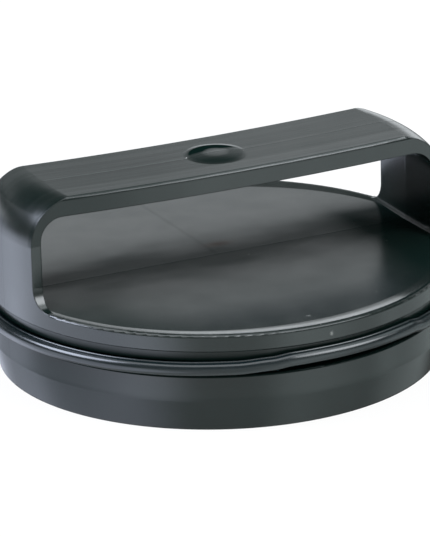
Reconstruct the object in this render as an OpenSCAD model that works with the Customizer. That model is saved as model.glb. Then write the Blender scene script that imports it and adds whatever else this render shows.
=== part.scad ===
// Push-in end cap for a 160 mm drain pipe: one moulded cap with a strap handle, and a rubber sealing ring.
// The cap stands on its open lower edge. The origin is the centre of that edge and Z is the cap's axis.
// The handle spans the cap along X. The mould parts along the plane Y = 0 and its halves draw off along Y.

/* [Cap] */
// Outer diameter of the skirt's straight part, which guides the cap in the pipe socket
skirt_d = 158; // [138:1:198]
// Distance by which the rim, and the handle's legs flush with it, stand out from the skirt
rim_out = 1; // [0.5:0.1:3]
// Height of the rim's outer wall
rim_h = 5.9; // [4:0.1:9]
// Width of the flat land on top of the rim
land_w = 1.8; // [1:0.1:3]
// Radius on the rim's top outer edge
rim_edge_r = 0.8; // [0.3:0.1:1.2]
// Radius on the rim's lower outer edge, above the collar
rim_lower_r = 0.6; // [0.2:0.1:0.8]
// Thickness of the closing disc at its thinnest
deck_t = 3.4; // [2.5:0.1:5]
// Step from the rim's wall in to the collar below it
collar_step = 1; // [0.5:0.1:2]
// Height of the collar between rim and groove
collar_h = 3.3; // [2:0.1:5]

/* [Skirt] */
// Height of the skirt from the lower edge to the seal groove
skirt_h = 20; // [16:0.5:40]
// Height of the tapered nose at the skirt's lower end
nose_h = 11; // [6:0.5:14]
// Taper of the nose, measured from the cap's axis
nose_angle = 13.5; // [4:0.5:16]
// Wall of the neck behind the seal
neck_wall = 3; // [2.5:0.1:5]
// Radius on the shoulder at the skirt's upper end
shoulder_r = 0.7; // [0.3:0.1:1]
// Radius on the skirt's lower edge
lower_edge_r = 0.3; // [0.2:0.1:0.8]

/* [Disc] */
// Depth of the disc's centre ridge below the rim's land
ridge_drop = 0.2; // [0.1:0.1:1]
// Draft by which each half of the disc falls away from the parting plane
disc_draft = 0.6; // [0.3:0.1:2]
// Width of the hollow blend from the disc up to the land
blend_w = 8.2; // [4:0.1:12]
// Rise of that blend
blend_rise = 1; // [0.5:0.1:2]

/* [Handle] */
// Height of the handle's top above the lower edge, at the ends of the strap
handle_h = 71.5; // [60:0.5:90]
// Width of the strap and its legs
strap_w = 38.5; // [25:0.5:60]
// Thickness of the strap at its edges
strap_t = 6.5; // [4:0.1:9]
// Thickness of the legs on the parting plane
leg_t = 6.5; // [4.5:0.1:9]
// Outer radius where the strap turns down into a leg
bend_r = 16; // [11:0.5:20]
// Inner radius of the same bend
window_r = 7.5; // [4:0.5:10]
// Sag of the strap at the middle of its span
strap_sag = 1.1; // [0.5:0.1:3]
// Fall of the strap's top from the parting plane to its edges, in degrees
crown_angle = 0.2; // [0.1:0.1:2]
// Draft of the window's faces
window_draft = 1.5; // [0.5:0.1:3]
// Radius on the strap's upper edges
strap_edge_r = 1.2; // [0.4:0.1:2]
// Radius where the legs' sides run out into the rim
foot_r = 7.5; // [4:0.5:10]
// Radius where the legs' inner faces meet the disc
foot_inner_r = 2.5; // [1:0.1:4]
// Diameter of the shallow domed boss on the middle of the strap
boss_d = 22; // [14:1:26]
// Height of that boss
boss_h = 0.9; // [0.4:0.1:1.5]

/* [Sealing ring] */
// Depth of the seal groove, measured from the skirt
groove_depth = 3; // [2:0.1:5]
// Height of the seal groove
groove_h = 5.2; // [4:0.1:8]
// Radius of the ring's round bead
bead_r = 2.2; // [1.5:0.1:3]
// Distance by which the bead's centre stands out from the skirt
bead_out = 2; // [1:0.1:3]
// Height of the bead's underside above the skirt's shoulder
bead_lift = 0.6; // [0.3:0.1:1]
// Radius of the thin lip on top of the bead
lip_r = 0.45; // [0.3:0.05:0.8]
// Clearance between the ring's root and the groove's top
seal_top_gap = 1; // [0.3:0.1:2.5]

/* [Hidden] */
$fn = 180;

// How far one surface runs below another that it ends in, so that the two cross and don't just touch.
sink = 0.05;
blend_cross = 0.02;
foot_ledge = 0.5;
root_depth = 3;
spare = 5;
corner_fn = 96;

skirt_r = skirt_d / 2;
rim_r = skirt_r + rim_out;
collar_r = rim_r - collar_step;
groove_r = skirt_r - groove_depth;
bore_r = groove_r - neck_wall;
nose_r = skirt_r - nose_h * tan(nose_angle);

groove_top = skirt_h + groove_h;
rim_bottom = groove_top + collar_h;
rim_top = rim_bottom + rim_h;
land_r = rim_r - land_w;
blend_start_r = land_r - blend_w;
blend_arc_r = (blend_w * blend_w + blend_rise * blend_rise) / (2 * blend_rise);
deck_floor = rim_top - blend_rise;
deck_under = deck_floor - deck_t;
deck_corner_r = 3;
ridge_z = rim_top - ridge_drop;

// The strap is bent about an axis high above the cap, so that it sags at mid-span.
strap_reach = rim_r - bend_r;
sag_r = (strap_reach * strap_reach + strap_sag * strap_sag) / (2 * strap_sag);
sag_axis_z = handle_h - strap_sag + sag_r;
sag_fn = 1080;
strap_top_mid = handle_h - strap_sag;
strap_half = strap_w / 2;
crown_fall = strap_half * tan(crown_angle);
bend_z = handle_h - bend_r;
sweep_angle = 2 * asin((rim_r + spare) / sag_r);
leg_inner = rim_r - leg_t;

// The window under the strap is drafted from the parting plane, so it is smallest there.
window_reach = strap_half + foot_r + 1;
window_top = handle_h - crown_fall - strap_t - strap_half * tan(window_draft);
window_mid = window_top - strap_sag;
window_low = ridge_z - (strap_half + foot_r) * tan(disc_draft) - sink;
draft_growth = window_reach * tan(window_draft);

boss_sphere_r = (boss_d * boss_d / 4 + boss_h * boss_h) / (2 * boss_h);
boss_root = 2;

bead_c_r = skirt_r + bead_out;
bead_z = skirt_h + bead_lift + bead_r;
root_reach = bead_c_r - bead_r / 2;

black_plastic = [0.10, 0.11, 0.115];
black_rubber = [0.05, 0.055, 0.06];

function unit(v) = v / norm(v);

// The small curved triangle between a corner and the arc of radius r that rounds it.
module corner_tip(corner, before, after, r) {
    a = unit(before - corner);
    b = unit(after - corner);
    half_angle = acos(a * b) / 2;
    reach = r / tan(half_angle);
    centre = corner + unit(a + b) * (r / sin(half_angle));
    difference() {
        polygon([corner, corner + a * reach, centre, corner + b * reach]);
        translate(centre) circle(r = r, $fn = corner_fn);
    }
}

// Half section of the cap without its handle, in the plane of radius and height.
module cap_section() {
    lower_edge = [nose_r, 0];
    nose_break = [skirt_r, nose_h];
    shoulder = [skirt_r, skirt_h];
    groove_floor = [groove_r, skirt_h];
    rim_lower = [rim_r, rim_bottom];
    rim_edge = [rim_r, rim_top];
    bore_edge = [bore_r, 0];
    difference() {
        polygon([
            bore_edge, lower_edge, nose_break, shoulder, groove_floor, [groove_r, groove_top],
            [collar_r, groove_top], [collar_r, rim_bottom], rim_lower, rim_edge, [0, rim_top], [0, deck_under],
            [bore_r - deck_corner_r, deck_under], [bore_r, deck_under - deck_corner_r]
        ]);
        translate([bore_r - deck_corner_r, deck_under - deck_corner_r])
            circle(r = deck_corner_r, $fn = corner_fn);
        corner_tip(lower_edge, bore_edge, nose_break, lower_edge_r);
        corner_tip(shoulder, nose_break, groove_floor, shoulder_r);
        corner_tip(rim_lower, [collar_r, rim_bottom], rim_edge, rim_lower_r);
        corner_tip(rim_edge, rim_lower, [0, rim_top], rim_edge_r);
    }
}

// The shallow bowl inside the rim, with a hollow arc from its floor up to the land.
module bowl() {
    rotate_extrude() difference() {
        translate([0, deck_floor]) square([land_r, handle_h]);
        difference() {
            translate([blend_start_r, deck_floor]) square([blend_w, blend_rise]);
            translate([blend_start_r, deck_floor + blend_arc_r]) circle(r = blend_arc_r, $fn = 4 * sag_fn);
        }
    }
}

// All that lies above the disc's two drafted halves, which meet in a ridge on the parting plane.
module above_disc() {
    for (side = [0, 180])
        rotate([0, 0, side]) translate([0, 0, ridge_z]) rotate([-disc_draft, 0, 0])
            translate([-2 * rim_r, -spare, 0]) cube([4 * rim_r, 2 * rim_r, 2 * rim_r]);
}

module disc_and_skirt() {
    difference() {
        rotate_extrude() cap_section();
        intersection() {
            bowl();
            above_disc();
        }
    }
}

// Section of the run-outs at the foot of both legs, in the plane of width and height.
module foot_section() {
    foot_y = strap_half + foot_r;
    difference() {
        translate([-foot_y, rim_top - root_depth]) square([2 * foot_y, root_depth + foot_r - foot_ledge]);
        for (side = [-1, 1])
            translate([side * foot_y, rim_top - sink + foot_r]) circle(r = foot_r, $fn = corner_fn);
    }
}

// Section of strap and legs: distance from the sag axis against width. The top is crowned, its edges rounded.
module strap_section() {
    ridge = [sag_r, 0];
    edge_d = sag_r + crown_fall;
    deep = sag_r + strap_top_mid - rim_top + root_depth;
    difference() {
        polygon([
            ridge, [edge_d, strap_half], [deep, strap_half], [deep, -strap_half], [edge_d, -strap_half]
        ]);
        for (side = [-1, 1])
            corner_tip([edge_d, side * strap_half], ridge, [deep, side * strap_half], strap_edge_r);
    }
}

// Strap and legs before the window is cut, bent so that the strap sags at mid-span.
module strap_blank() {
    translate([0, 0, sag_axis_z]) rotate([-90, 0, 0]) rotate([0, 0, 90 - sweep_angle / 2])
        rotate_extrude(angle = sweep_angle, $fn = sag_fn) strap_section();
}

// The handle's outside: the rim's cylinder carried up, and a bend of constant radius round the top.
module handle_envelope() {
    rotate_extrude() {
        translate([0, rim_top - root_depth]) square([rim_r, bend_z - rim_top + root_depth]);
        translate([0, bend_z - sink]) square([rim_r - bend_r, bend_r + spare]);
        translate([rim_r - bend_r, bend_z]) circle(r = bend_r, $fn = 2 * corner_fn);
    }
}

// A round corner of the window, standing along Y. Its radius grows from the parting plane to both sides.
module window_corner(x, z, r) {
    wide = r + draft_growth;
    translate([x, 0, z]) rotate([90, 0, 0]) rotate_extrude()
        polygon([[0, -window_reach], [wide, -window_reach], [r, 0], [wide, window_reach], [0, window_reach]]);
}

// The opening under the strap. It is smallest on the parting plane, and its faces are drafted to both sides.
module window() {
    bend_x = leg_inner - window_r;
    foot_x = leg_inner - foot_inner_r;
    foot_z = window_low + foot_inner_r;
    wide_x = leg_inner + draft_growth;
    under_d = sag_axis_z - window_mid;
    wide_d = under_d - draft_growth;
    deep_d = sag_axis_z - foot_z;
    bend_angle = asin(bend_x / (under_d + window_r));
    bend_top = sag_axis_z - (under_d + window_r) * cos(bend_angle);

    translate([0, 0, foot_z]) linear_extrude(height = bend_top - foot_z) polygon([
        [leg_inner, 0], [wide_x, window_reach], [-wide_x, window_reach],
        [-leg_inner, 0], [-wide_x, -window_reach], [wide_x, -window_reach]
    ]);
    translate([-foot_x, -window_reach, window_low]) cube([2 * foot_x, 2 * window_reach, 2 * foot_inner_r]);
    translate([0, 0, sag_axis_z]) rotate([-90, 0, 0]) rotate([0, 0, 90 - bend_angle])
        rotate_extrude(angle = 2 * bend_angle, $fn = sag_fn) polygon([
            [under_d, 0], [wide_d, window_reach], [deep_d, window_reach],
            [deep_d, -window_reach], [wide_d, -window_reach]
        ]);
    for (side = [-1, 1]) {
        window_corner(side * bend_x, bend_top, window_r + blend_cross);
        window_corner(side * foot_x, foot_z, foot_inner_r + blend_cross);
    }
}

// The shallow domed boss in the middle of the strap.
module boss() {
    translate([0, 0, strap_top_mid]) intersection() {
        translate([0, 0, -boss_root]) cylinder(d = boss_d, h = boss_root + boss_h + sink);
        translate([0, 0, boss_h - boss_sphere_r]) sphere(r = boss_sphere_r);
    }
}

module handle() {
    difference() {
        intersection() {
            union() {
                rotate([90, 0, 90]) linear_extrude(height = 2 * (rim_r + spare), center = true) foot_section();
                strap_blank();
            }
            handle_envelope();
        }
        window();
    }
    boss();
}

module cap_body() {
    color(black_plastic) union() {
        disc_and_skirt();
        handle();
    }
}

// Rubber ring: a root that sits in the groove, a round bead outside the skirt and a thin lip on top of the bead.
module sealing_ring() {
    color(black_rubber) rotate_extrude() {
        translate([groove_r, skirt_h]) square([root_reach - groove_r, groove_h - seal_top_gap]);
        translate([bead_c_r, bead_z]) circle(r = bead_r, $fn = corner_fn);
        translate([bead_c_r - 2 * lip_r, bead_z + bead_r - lip_r / 2]) circle(r = lip_r, $fn = corner_fn / 2);
    }
}

cap_body();
sealing_ring();
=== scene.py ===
"""Looks of the pipe end cap: moulded black plastic with its seams and marks, and the worn rubber sealing ring.

All lengths are in metres unless a comment says millimetres, in the frame of the CAD model: Z is the cap's axis, X
runs along the handle's strap, and the mould parted on the plane Y = 0.
"""

import math
import random

import bmesh
import bpy
from mathutils import Matrix, Vector


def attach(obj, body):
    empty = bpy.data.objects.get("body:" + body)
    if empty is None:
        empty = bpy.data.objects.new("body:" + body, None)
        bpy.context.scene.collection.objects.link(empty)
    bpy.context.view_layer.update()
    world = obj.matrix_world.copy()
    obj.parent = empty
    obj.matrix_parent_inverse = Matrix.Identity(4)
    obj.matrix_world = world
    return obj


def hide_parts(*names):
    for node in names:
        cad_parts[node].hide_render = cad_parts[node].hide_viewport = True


MM = 0.001
random.seed(7)

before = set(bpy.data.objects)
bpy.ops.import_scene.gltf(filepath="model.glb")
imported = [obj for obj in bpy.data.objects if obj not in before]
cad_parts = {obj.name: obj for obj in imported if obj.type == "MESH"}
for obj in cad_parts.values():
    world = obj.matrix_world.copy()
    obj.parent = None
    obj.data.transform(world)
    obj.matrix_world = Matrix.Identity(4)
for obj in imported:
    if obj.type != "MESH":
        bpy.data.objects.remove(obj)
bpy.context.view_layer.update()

# ---------------------------------------------------------------- camera

VIEW_AZIMUTH = math.radians(-25.7)
VIEW_ELEVATION = math.radians(19.9)
VIEW_ROLL = math.radians(-1.35)
VIEW_DISTANCE = 1.527
VIEW_TARGET = Vector((3.2, 8.8, 25.5)) * MM
LENS = 369.5
SENSOR_WIDTH = 36.0


def make_camera():
    """Places the camera at the photo's viewing angle."""
    back = Vector((
        math.sin(VIEW_AZIMUTH) * math.cos(VIEW_ELEVATION),
        -math.cos(VIEW_AZIMUTH) * math.cos(VIEW_ELEVATION),
        math.sin(VIEW_ELEVATION),
    ))
    right = Vector((math.cos(VIEW_AZIMUTH), math.sin(VIEW_AZIMUTH), 0))
    up = back.cross(right)
    right, up = (
        right * math.cos(VIEW_ROLL) + up * math.sin(VIEW_ROLL),
        up * math.cos(VIEW_ROLL) - right * math.sin(VIEW_ROLL),
    )
    data = bpy.data.cameras.new("camera")
    data.sensor_fit = "HORIZONTAL"
    data.sensor_width = SENSOR_WIDTH
    data.lens = LENS
    camera = bpy.data.objects.new("camera", data)
    bpy.context.collection.objects.link(camera)
    place = VIEW_TARGET + back * VIEW_DISTANCE
    camera.matrix_world = Matrix.Translation(place) @ Matrix((right, up, back)).transposed().to_4x4()
    bpy.context.scene.camera = camera


# ---------------------------------------------------------------- node helpers

# The span in which most of a noise's values lie.
NOISE_SPAN = (0.3, 0.7)


class Nodes:
    """A small helper that adds nodes to a tree and links them as they are made."""

    def __init__(self, tree):
        self.tree = tree
        tree.nodes.clear()

    def add(self, kind, inputs=(), **settings):
        node = self.tree.nodes.new(kind)
        for name, value in settings.items():
            setattr(node, name, value)
        for key, value in dict(inputs).items():
            self.feed(node, key, value)
        return node

    def feed(self, node, key, value):
        if isinstance(value, bpy.types.NodeSocket):
            self.tree.links.new(value, node.inputs[key])
        else:
            node.inputs[key].default_value = value

    def math(self, operation, a, b=0.0, clamp=False):
        return self.add("ShaderNodeMath", {0: a, 1: b}, operation=operation, use_clamp=clamp).outputs[0]

    def product(self, first, *others):
        for value in others:
            first = self.math("MULTIPLY", first, value)
        return first

    def above(self, value, limit):
        return self.math("GREATER_THAN", value, limit)

    def below(self, value, limit):
        return self.math("LESS_THAN", value, limit)

    def remap(self, value, low, high, to_low=0.0, to_high=1.0, smooth=True):
        kind = "SMOOTHSTEP" if smooth else "LINEAR"
        ins = {"Value": value, "From Min": low, "From Max": high, "To Min": to_low, "To Max": to_high}
        return self.add("ShaderNodeMapRange", ins, interpolation_type=kind).outputs["Result"]

    def vector(self, operation, a, b=(0.0, 0.0, 0.0)):
        return self.add("ShaderNodeVectorMath", {0: a, 1: b}, operation=operation).outputs["Vector"]

    def vector_value(self, operation, a, b=(0.0, 0.0, 0.0)):
        return self.add("ShaderNodeVectorMath", {0: a, 1: b}, operation=operation).outputs["Value"]

    def noise(self, vector, scale, detail=3.0, roughness=0.5):
        ins = {"Vector": vector, "Scale": scale, "Detail": detail, "Roughness": roughness}
        return self.add("ShaderNodeTexNoise", ins).outputs["Fac"]

    def mix_value(self, factor, a, b):
        node = self.add("ShaderNodeMix", data_type="FLOAT")
        self.feed(node, 0, factor)
        self.feed(node, 2, a)
        self.feed(node, 3, b)
        return node.outputs[0]

    def mix_colour(self, factor, a, b):
        node = self.add("ShaderNodeMix", data_type="RGBA")
        self.feed(node, 0, factor)
        self.feed(node, 6, a)
        self.feed(node, 7, b)
        return node.outputs[2]

    def bump(self, relief, strength, depth, normal=None):
        node = self.add("ShaderNodeBump", {"Height": relief, "Strength": strength, "Distance": depth})
        if normal:
            self.feed(node, "Normal", normal)
        return node.outputs[0]


def new_material(name):
    material = bpy.data.materials.new(name)
    material.use_nodes = True
    return material, Nodes(material.node_tree)


# ---------------------------------------------------------------- plastic

PLASTIC_COLOUR = (0.002, 0.006, 0.005, 1)
DUST_COLOUR = (0.30, 0.30, 0.28, 1)
GATE_COLOUR = (0.024, 0.016, 0.011, 1)
PLASTIC_IOR = 1.53
PLASTIC_ROUGHNESS = (0.17, 0.23)
EDGE_SOFTNESS = 0.5 * MM

# The shader's specular level: its mean, which the export keeps, and its level where no mark or zone changes it.
MEAN_GLOSS = 0.5
CLEAN_GLOSS = 0.6

# Levels on the body, from the lower edge up, then radii, and how far from the parting plane the strap's rounded edges
# begin.
NOSE_Z = 11.0 * MM
GROOVE_Z = 20.1 * MM
RIM_UNDER_Z = 28.5 * MM
DECK_LOW_Z = 32.0 * MM
RIM_TOP_Z = 34.45 * MM
STRAP_FACE_Z = 56.0 * MM
STRAP_Z = 66.0 * MM
LAND_RADIUS = 78.2 * MM
BOSS_RADIUS = 11.0 * MM
STRAP_EDGE_Y = 17.5 * MM

# The gloss differs from place to place. One photo can't tell a dull place from one that mirrors something dark, so
# these zones are fitted to its light and dark areas, and aren't known wear. Each has its limits: an axis, where the
# zone begins and where it is full, in millimetres. Then comes the gloss there, against 1 outside.
DISC_PAINTED_LIGHT = (
    # Painted reflection, brighter toward the back.
    ((("y", 5, 45),), 2.4),                     # toward the back
    # Painted shade and dark reflection by the right leg.
    ((("x", 40, 58), ("y", 30, 14)), 0.05),     # by the right leg
    # Painted shade at the front left, by the left leg.
    ((("x", -30, -60), ("y", 0, -30)), 0.12),   # front left
    # Painted reflection, brighter along the front.
    ((("y", -35, -58), ("x", -45, -15)), 2.4),  # along the front
)
# Painted shade, by lower gloss: on the skirt's left side, on the left of the strap's front face, and on the right part
# of the rim's edge.
SKIRT_LEFT_SHADE = ((("x", -58, -79),), 0.35)
STRAP_FACE_LEFT_SHADE = ((("x", -5, -65),), 0.6)
RIM_EDGE_RIGHT_SHADE = ((("x", -50, 0),), 0.45)

# Smoke on the disc: the noise's stretch and scale, and how far it shifts the dull band beside the parting plane.
SMOKE_STRETCH, SMOKE_SCALE = (1.0, 1.8, 1.0), 26
SMOKE_SHIFT = 30 * MM
DULL_BAND = (2 * MM, 40 * MM, 0.06, 1.2)

# The parting seam, with its gloss on the walls and on the disc.
SEAM_WIDTH = 0.45 * MM
SEAM_WANDER = 0.1 * MM
SEAM_GLOSS = (0.6, 0.1)

# The gate's stain: its place, stretch and reach, how much the smoke frays it, its gloss and how far it tints.
GATE_PLACE = (5.0 * MM, 9.5 * MM, 33.5 * MM)
GATE_STRETCH = (0.6, 1.3, 1.0)
GATE_REACH = (2.0 * MM, 7.5 * MM)
GATE_FRAY = 4.0 * MM
GATE_GLOSS = 0.3
GATE_TINT = 0.9

# Reliefs: the noise's scale and detail, then the bump's strength and depth.
WAVES = (28, 1, 0.12, 0.6 * MM)
GRAIN = (1500, 3, 0.10, 0.04 * MM)
SEAM_RELIEF = (0.25, 0.1 * MM)

# Small pale scuffs and specks: place and radius, all in millimetres.
SCUFFS = (
    ((0.5, -67.5, 34.0), 1.5), ((2.5, -80.0, 31.0), 1.3), ((-14.5, -42.5, 33.5), 0.7), ((-31.5, -45.5, 33.5), 0.6),
    ((57.0, -16.5, 33.5), 0.8), ((61.0, -19.0, 33.5), 0.6), ((12.0, 1.0, 70.5), 0.5), ((-52.0, -55.0, 23.0), 1.6),
)
SCUFF_COVER = 0.45
SCUFF_RAGGED = 1.6 * MM

# Dust specks: one cell of this pattern in four has one, of up to this part of a cell's size.
SPECK_CELLS = 95.0
SPECK_SHARE = 0.25
SPECK_SIZE = 0.030


class Body:
    """Where a point lies on the cap's body, as sockets, with the disc's smoke and the masks of two regions."""

    def __init__(self, n):
        self.n = n
        coordinates = n.add("ShaderNodeTexCoord")
        self.place = coordinates.outputs["Object"]
        axes = n.add("ShaderNodeSeparateXYZ", {0: self.place})
        self.x, self.y, self.z = (axes.outputs[axis] for axis in "XYZ")
        self.facing_up = n.add("ShaderNodeSeparateXYZ", {0: coordinates.outputs["Normal"]}).outputs["Z"]
        self.off_seam = n.math("ABSOLUTE", self.y)
        self.from_middle = n.vector_value("LENGTH", n.vector("MULTIPLY", self.place, (1, 1, 0)))
        self.smoke = n.noise(n.vector("MULTIPLY", self.place, SMOKE_STRETCH), SMOKE_SCALE)
        self.on_disc = n.product(
            n.below(self.z, RIM_TOP_Z), n.above(self.z, DECK_LOW_Z), n.below(self.from_middle, LAND_RADIUS),
        )
        self.in_groove = n.product(n.below(self.z, RIM_UNDER_Z), n.above(self.z, GROOVE_Z - 0.9 * MM))

    def zone(self, limits, factor, mask=None):
        """The gloss factor of one zone: 1 outside it, and `factor` where it is full."""
        shares = [mask] if mask else []
        for axis, start, full in limits:
            fade = (0.0, 1.0) if start < full else (1.0, 0.0)
            low, high = sorted((start * MM, full * MM))
            shares.append(self.n.remap({"x": self.x, "y": self.y}[axis], low, high, *fade))
        return self.n.mix_value(self.n.product(*shares), 1.0, factor)


def disc_gloss(n, body):
    """Gloss of the disc: low in a band along the parting plane, smoky all over, with a fine line across its back."""
    shift = n.product(n.math("SUBTRACT", body.smoke, 0.5), SMOKE_SHIFT)
    gloss = n.remap(n.math("ADD", body.off_seam, shift), *DULL_BAND)
    # The disc's painted reflections and painted shade, zone by zone.
    zones = [body.zone(*zone) for zone in DISC_PAINTED_LIGHT]
    mottle = n.remap(n.noise(body.place, 70, detail=5, roughness=0.6), *NOISE_SPAN, 0.85, 1.15)
    off_line = n.math("ABSOLUTE", body.x)
    line = n.product(
        n.remap(off_line, 0.2 * MM, 1.2 * MM, 0.7, 1.0), n.remap(off_line, 4 * MM, 10 * MM, 0.95, 1.0),
    )
    return n.product(gloss, *zones, mottle, n.mix_value(n.above(body.y, 0.0), 1.0, line))


def strap_gloss(n, body):
    """Gloss of the strap's top: flow streaks along it, a lighter band at its front edge, and the boss.

    The band, the rise from left to right and the boss's two sides are fitted to the photo, as the zones are.
    """
    streaks = n.noise(n.vector("MULTIPLY", body.place, (9, 900, 9)), 1.0, roughness=0.6)
    # Painted highlight in a band along the front edge, and painted shade toward the left end, brighter toward the
    # right.
    front_band = n.remap(body.y, -11.5 * MM, -9.5 * MM, 1.5, 0.8)
    lengthwise = n.remap(body.x, -45 * MM, 30 * MM, 0.55, 1.35)
    # The boss: a painted highlight at its middle on the near side, and painted shade round it and on its far side.
    near_side = n.remap(body.from_middle, 2 * MM, 5.5 * MM, 1.6, 0.18)
    far_side = n.remap(body.from_middle, 1 * MM, 4.5 * MM, 0.7, 0.0)
    boss = n.mix_value(n.remap(body.y, -1 * MM, 3 * MM), near_side, far_side)
    round_boss = n.remap(body.from_middle, BOSS_RADIUS - 2.2 * MM, BOSS_RADIUS + 0.6 * MM)
    return n.product(
        n.remap(streaks, *NOISE_SPAN, 0.68, 1.2), front_band, lengthwise, n.mix_value(round_boss, boss, 1.0),
    )


def edge_painted_shade(n, body):
    """Gloss factor of two rounded edges, fitted to the photo as duller: the strap's and the right part of the rim's."""
    # Painted shade: the strap's edges and the right part of the rim's edge are darkened, so that they mirror less of
    # the lamps.
    strap_edge = n.product(
        n.remap(body.off_seam, STRAP_EDGE_Y + 0.1 * MM, STRAP_EDGE_Y + 1.1 * MM),
        n.remap(body.facing_up, 0.15, 0.35), n.above(body.z, STRAP_Z),
    )
    off_disc = n.math("SUBTRACT", n.below(body.z, RIM_TOP_Z), body.on_disc, clamp=True)
    rim_edge = n.product(n.remap(body.z, RIM_TOP_Z - 1.1 * MM, RIM_TOP_Z - 0.7 * MM), off_disc)
    return n.product(n.mix_value(strap_edge, 1.0, 0.5), body.zone(*RIM_EDGE_RIGHT_SHADE, mask=rim_edge))


def wall_painted_shade(n, body):
    """Gloss factor of the groove and of the skirt under it: painted shade in the groove, on the skirt's nose and on its
    left side.
    """
    # Painted shade in the groove, darkest low down and over the skirt's shoulder.
    groove = n.remap(body.z, GROOVE_Z + 5.5 * MM, RIM_UNDER_Z, 0.1, 0.7)
    # Painted shade, darker toward the skirt's lower edge.
    nose = n.remap(body.z, NOSE_Z - 1 * MM, NOSE_Z + 2 * MM, 0.62, 0.82)
    on_skirt = n.product(n.below(body.z, GROOVE_Z), n.math("SUBTRACT", 1.0, body.in_groove))
    # The nose's painted shade and the painted shade on the skirt's left side.
    skirt = n.product(nose, body.zone(*SKIRT_LEFT_SHADE))
    return n.product(n.mix_value(body.in_groove, 1.0, groove), n.mix_value(on_skirt, 1.0, skirt))


def body_gloss(n, body):
    """Gloss of the whole body before its seam and marks."""
    on_strap = n.product(n.above(body.z, STRAP_Z), n.above(body.facing_up, 0.6))
    on_face = n.product(n.below(body.y, -STRAP_EDGE_Y), n.above(body.z, STRAP_FACE_Z))
    # Painted shade on the left of the strap's front face.
    elsewhere = body.zone(*STRAP_FACE_LEFT_SHADE, mask=on_face)
    gloss = n.mix_value(body.on_disc, n.mix_value(on_strap, elsewhere, strap_gloss(n, body)), disc_gloss(n, body))
    return n.product(gloss, wall_painted_shade(n, body), edge_painted_shade(n, body))


def seam_mask(n, body):
    """The raised line that the mould left on its parting plane."""
    off = n.math("ADD", body.off_seam, n.product(n.noise(body.place, 300), SEAM_WANDER))
    return n.remap(off, 0.25 * SEAM_WIDTH, SEAM_WIDTH, 1.0, 0.0)


def gate_mask(n, body):
    """The stain beside the seam, where the plastic entered the mould."""
    off = n.vector("MULTIPLY", n.vector("SUBTRACT", body.place, GATE_PLACE), GATE_STRETCH)
    reach = n.math("ADD", n.vector_value("LENGTH", off), n.product(body.smoke, GATE_FRAY))
    return n.remap(reach, *GATE_REACH, 1.0, 0.0)


def scuff_mask(n, place):
    """How much of each point is covered by dust specks and the scuffs: broken up, so that no mark is round."""
    ragged = n.product(n.noise(place, 1800, detail=4), SCUFF_RAGGED)
    cells = n.add("ShaderNodeTexVoronoi", {"Vector": place, "Scale": SPECK_CELLS})
    chance = n.add("ShaderNodeSeparateColor", {0: cells.outputs["Color"]}).outputs[0]
    size = n.remap(chance, 1.0 - SPECK_SHARE, 1.0, 0.0, SPECK_SIZE, smooth=False)
    mask = n.below(cells.outputs["Distance"], size)
    for centre, radius in SCUFFS:
        away = n.vector_value("DISTANCE", place, tuple(value * MM for value in centre))
        reach = n.math("ADD", away, ragged)
        spot = n.remap(reach, (0.5 + 0.2 * radius) * MM, (0.8 + 0.8 * radius) * MM, SCUFF_COVER, 0.0)
        mask = n.math("MAXIMUM", mask, spot)
    return mask


def make_plastic():
    """Black moulded polyethylene: softly glossy, with its mould seam, flow streaks, gate mark, dust and scuffs."""
    material, n = new_material("black_plastic")
    body = Body(n)
    seam, gate, scuffs = seam_mask(n, body), gate_mask(n, body), scuff_mask(n, body.place)

    colour = n.mix_colour(n.product(gate, GATE_TINT), PLASTIC_COLOUR, GATE_COLOUR)
    colour = n.mix_colour(scuffs, colour, DUST_COLOUR)
    roughness = n.remap(n.noise(body.place, 60, detail=4), *NOISE_SPAN, *PLASTIC_ROUGHNESS)
    gloss = n.product(
        body_gloss(n, body), n.mix_value(seam, 1.0, n.mix_value(body.on_disc, *SEAM_GLOSS)),
        n.mix_value(gate, 1.0, GATE_GLOSS), CLEAN_GLOSS, n.math("SUBTRACT", 1.0, scuffs),
    )

    normal = n.add("ShaderNodeBevel", {"Radius": EDGE_SOFTNESS}, samples=6).outputs[0]
    waves = n.noise(body.place, WAVES[0], detail=WAVES[1])
    grain = n.noise(body.place, GRAIN[0], detail=GRAIN[1])
    for relief, (strength, depth) in ((waves, WAVES[2:]), (seam, SEAM_RELIEF), (grain, GRAIN[2:])):
        normal = n.bump(relief, strength, depth, normal)

    shader = n.add("ShaderNodeBsdfPrincipled", {
        "Base Color": colour, "Roughness": roughness, "IOR": PLASTIC_IOR, "Specular IOR Level": MEAN_GLOSS,
        "Normal": normal,
    })
    n.feed(shader, "Specular IOR Level", gloss)
    n.add("ShaderNodeOutputMaterial", {"Surface": shader.outputs[0]})
    return material


# ---------------------------------------------------------------- rubber ring

RUBBER_COLOUR = (0.003, 0.007, 0.008, 1)
RUBBER_IOR = 1.55
RUBBER_ROUGHNESS = (0.17, 0.25)
RUBBER_GRAIN = (0.1, 0.05 * MM)

# The ring's section in millimetres: a flat root in the groove and a round bead outside it, with a lip on the bead.
ROOT_INNER_R = 76.05
ROOT_LOW, ROOT_HIGH = 20.05, 23.9
ROOT_UNDER_BEAD = ((78.0, ROOT_LOW), (79.0, ROOT_LOW + 0.1))
ROOT_OVER_BEAD = ((79.2, ROOT_HIGH + 0.15), (78.4, ROOT_HIGH))
BEAD_CENTRE = (81.0, 22.8)
BEAD_R = 2.12
BEAD_FLATNESS = 0.9
LIP_CENTRE = (80.15, 24.75)
LIP_R = 0.42

# Arcs of the bead and the lip: first and last angle in degrees, and how many steps lie between them.
BEAD_ARC = (-125, 120, 32)
LIP_ARC = (10, 190, 8)

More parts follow.
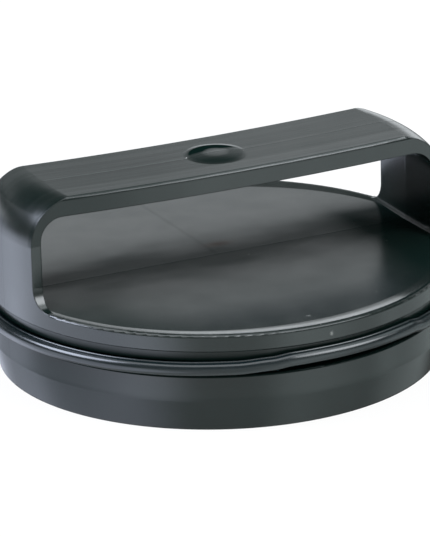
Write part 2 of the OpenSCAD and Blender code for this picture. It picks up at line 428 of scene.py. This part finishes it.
# How high the bead sits above its seat: angle round the cap in degrees, then height in millimetres. The ring has
# ridden up out of its groove on one side, as far as the rim's collar lets it.
SEAT = (
    (-180, 0.0), (-145, 0.05), (-130, 0.15), (-112, 0.4), (-104, 1.0), (-98, 1.8), (-92, 1.95), (-70, 1.95),
    (-64, 1.8), (-59, 0.8), (-52, 0.4), (0, 0.3), (90, 0.2), (150, 0.2), (180, 0.0),
)

# How far the root can rise in its groove, and the radii between which the root's rise turns into the bead's, in
# millimetres.
ROOT_RISE = 1.15
NECK = (77.5, 79.5)

# Ripples, as numbers of waves round the ring. Then, in millimetres, how far they lift the ring and push it out, and
# how far it stands out where it has ridden up.
RIPPLES = (3, 5, 8, 13, 21)
RIPPLE_LIFT, RIPPLE_OUT = 0.05, 0.02
RAISED_OUT = 0.04
RING_STEPS = 480


def arc(first, last, steps):
    """Angles in radians along an arc given in degrees."""
    return [math.radians(first + (last - first) * step / steps) for step in range(steps + 1)]


def ring_section():
    """Outline of the ring's section in millimetres, as points of radius and height."""
    points = [(ROOT_INNER_R, ROOT_LOW), *ROOT_UNDER_BEAD]
    for angle in arc(*BEAD_ARC):
        r, z = (middle + BEAD_R * math.copysign(abs(share) ** BEAD_FLATNESS, share) for middle, share in
                zip(BEAD_CENTRE, (math.cos(angle), math.sin(angle))))
        if math.hypot(r - LIP_CENTRE[0], z - LIP_CENTRE[1]) > LIP_R:
            points.append((r, z))
    for angle in arc(*LIP_ARC):
        points.append((LIP_CENTRE[0] + LIP_R * math.cos(angle), LIP_CENTRE[1] + LIP_R * math.sin(angle)))
    return [*points, *ROOT_OVER_BEAD, (ROOT_INNER_R, ROOT_HIGH)]


def smooth(low, high, value):
    """Rises smoothly from 0 at low to 1 at high."""
    share = min(max((value - low) / (high - low), 0.0), 1.0)
    return share * share * (3 - 2 * share)


def seat_height(degrees):
    """Height of the bead above its seat at one angle round the cap, from -180 to 180."""
    k = next(k for k in range(1, len(SEAT)) if degrees <= SEAT[k][0])
    (low, before), (high, after) = SEAT[k - 1], SEAT[k]
    return before + (after - before) * smooth(low, high, degrees)


def build_ring():
    """The rubber ring as it sits on the cap: a little uneven, and ridden up in its groove on one side."""
    section = ring_section()
    waves = [(turns, random.uniform(0, math.tau), random.uniform(0.3, 1.0)) for turns in RIPPLES]
    highest = max(height for _, height in SEAT)
    mesh = bmesh.new()
    loops = []
    for step in range(RING_STEPS):
        angle = math.tau * step / RING_STEPS
        lift = seat_height((math.degrees(angle) + 180) % 360 - 180)
        ripple = sum(size * math.sin(turns * angle + phase) for turns, phase, size in waves) / len(waves)
        lift += RIPPLE_LIFT * ripple * (1 - lift / highest)
        loop = []
        for r, z in section:
            out = smooth(*NECK, r)
            rise = min(lift, ROOT_RISE) + (lift - min(lift, ROOT_RISE)) * out
            reach = r + out * (RIPPLE_OUT * ripple + RAISED_OUT * lift / highest)
            point = Vector((reach * math.cos(angle), reach * math.sin(angle), z + rise))
            loop.append(mesh.verts.new(point * MM))
        loops.append(loop)
    for loop, after in zip(loops, loops[1:] + loops[:1]):
        for i in range(len(section)):
            j = (i + 1) % len(section)
            face = mesh.faces.new((loop[i], after[i], after[j], loop[j]))
            face.smooth = True
    bmesh.ops.recalc_face_normals(mesh, faces=mesh.faces)
    data = bpy.data.meshes.new("rubber_ring")
    mesh.to_mesh(data)
    mesh.free()
    ring = bpy.data.objects.new("rubber_ring", data)
    bpy.context.collection.objects.link(ring)
    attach(ring, "root")
    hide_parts("sealing_ring")
    return ring


def make_rubber():
    """Smooth black rubber, a little uneven in its gloss and finely grained."""
    material, n = new_material("black_rubber")
    place = n.add("ShaderNodeTexCoord").outputs["Object"]
    shader = n.add("ShaderNodeBsdfPrincipled", {
        "Base Color": RUBBER_COLOUR, "IOR": RUBBER_IOR,
        "Roughness": n.remap(n.noise(place, 140, detail=4), *NOISE_SPAN, *RUBBER_ROUGHNESS),
        "Normal": n.bump(n.noise(place, 1200), *RUBBER_GRAIN),
    })
    n.add("ShaderNodeOutputMaterial", {"Surface": shader.outputs[0]})
    return material


# ---------------------------------------------------------------- studio

WHITE = (1, 1, 1, 1)
FLOOR_SIZE = 12.0
FLOOR_COLOUR = (0.8, 0.8, 0.8, 1)

# How far the floor is plain white to the camera. The rest is its matt surface, which takes the cap's shadow.
FLOOR_WHITE = 0.94

# Soft light fields of the studio: azimuth from the camera's side (left negative), elevation, half width and half
# height, all in degrees, then brightness and tint. Each is even over its middle and fades out to its edge.
COOL = (0.90, 0.98, 1.18)
PLAIN = (0.96, 1.01, 1.05)
GREENISH = (0.90, 1.03, 1.05)
FIELD_EVEN = 0.55
LIGHT_FIELDS = (
    (-88, 42, 32, 26, 11.0, COOL),
    (66, 42, 34, 26, 8.0, PLAIN),
    (0, 90, 400, 34, 2.4, PLAIN),
    (130, 56, 60, 26, 1.3, GREENISH),
    (180, 20, 75, 9, 0.48, PLAIN),
    (180, 2, 70, 10, 1.2, PLAIN),
    (-75, -30, 70, 34, 1.7, COOL),
    (-145, -25, 50, 34, 0.95, COOL),
    (10, -25, 70, 50, 0.55, GREENISH),
    (60, -30, 45, 34, 0.65, GREENISH),
    (115, -20, 35, 34, 0.7, GREENISH),
    (0, -90, 400, 45, 0.6, GREENISH),
)

# The dome's brightness behind the cap and in front of it, and where one turns into the other, as the cosine of the
# angle to the camera's side.
DOME_BACK, DOME_FRONT = 0.12, 0.3
DOME_TURN = (-0.7, 0.3)


def make_world():
    """A dim dome with broad soft light fields, as in a light tent. The camera sees it white all over."""
    world = bpy.data.worlds.new("studio")
    bpy.context.scene.world = world
    world.use_nodes = True
    n = Nodes(world.node_tree)
    direction = n.add("ShaderNodeTexCoord").outputs["Generated"]
    axes = n.add("ShaderNodeSeparateXYZ", {0: direction})
    elevation = n.math("ARCSINE", axes.outputs["Z"])
    heading = n.math("ARCTAN2", axes.outputs["X"], n.product(axes.outputs["Y"], -1.0))
    toward = Vector((math.sin(VIEW_AZIMUTH), -math.cos(VIEW_AZIMUTH), 0))
    base = n.remap(n.vector_value("DOT_PRODUCT", direction, toward), *DOME_TURN, DOME_BACK, DOME_FRONT)
    light = n.add("ShaderNodeCombineXYZ", {0: base, 1: base, 2: base}).outputs[0]
    for azimuth, rise, width, height, strength, tint in LIGHT_FIELDS:
        turn = n.math("SUBTRACT", heading, VIEW_AZIMUTH + math.radians(azimuth))
        turn = n.add("ShaderNodeMath", {0: turn, 1: math.pi, 2: -math.pi}, operation="WRAP").outputs[0]
        across = n.math("POWER", n.math("DIVIDE", n.math("ABSOLUTE", turn), math.radians(width)), 2.0)
        lift = n.math("ABSOLUTE", n.math("SUBTRACT", elevation, math.radians(rise)))
        along = n.math("POWER", n.math("DIVIDE", lift, math.radians(height)), 2.0)
        share = n.remap(n.math("SQRT", n.math("ADD", across, along)), FIELD_EVEN, 1.0, strength, 0.0)
        field = n.add("ShaderNodeVectorMath", {0: tint}, operation="SCALE")
        n.feed(field, "Scale", share)
        light = n.vector("ADD", light, field.outputs[0])
    dome = n.add("ShaderNodeBackground", {"Color": light, "Strength": 1.0})
    white = n.add("ShaderNodeBackground", {"Color": WHITE, "Strength": 1.0})
    seen = n.add("ShaderNodeLightPath").outputs["Is Camera Ray"]
    mixed = n.add("ShaderNodeMixShader", {0: seen, 1: dome.outputs[0], 2: white.outputs[0]})
    n.add("ShaderNodeOutputWorld", {"Surface": mixed.outputs[0]})


def make_floor():
    """A pale floor. The camera sees it white, apart from the cap's soft shadow, and the cap mirrors the tent."""
    bpy.ops.mesh.primitive_plane_add(size=FLOOR_SIZE)
    floor = bpy.context.object
    floor.name = "floor"
    floor.visible_glossy = False
    material, n = new_material("white_floor")
    matt = n.add("ShaderNodeBsdfDiffuse", {"Color": FLOOR_COLOUR})
    glow = n.add("ShaderNodeEmission", {"Color": WHITE, "Strength": 1.0})
    seen = n.add("ShaderNodeLightPath").outputs["Is Camera Ray"]
    mixed = n.add("ShaderNodeMixShader", {0: n.product(seen, FLOOR_WHITE), 1: matt.outputs[0], 2: glow.outputs[0]})
    n.add("ShaderNodeOutputMaterial", {"Surface": mixed.outputs[0]})
    floor.data.materials.append(material)


# ---------------------------------------------------------------- the scene

make_camera()
make_world()
make_floor()

plastic, rubber = make_plastic(), make_rubber()
for node, surface in (("cap_body", plastic), ("sealing_ring", rubber)):
    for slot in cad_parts[node].material_slots:
        slot.material = surface
build_ring().data.materials.append(rubber)

bpy.context.scene.view_settings.view_transform = "Standard"
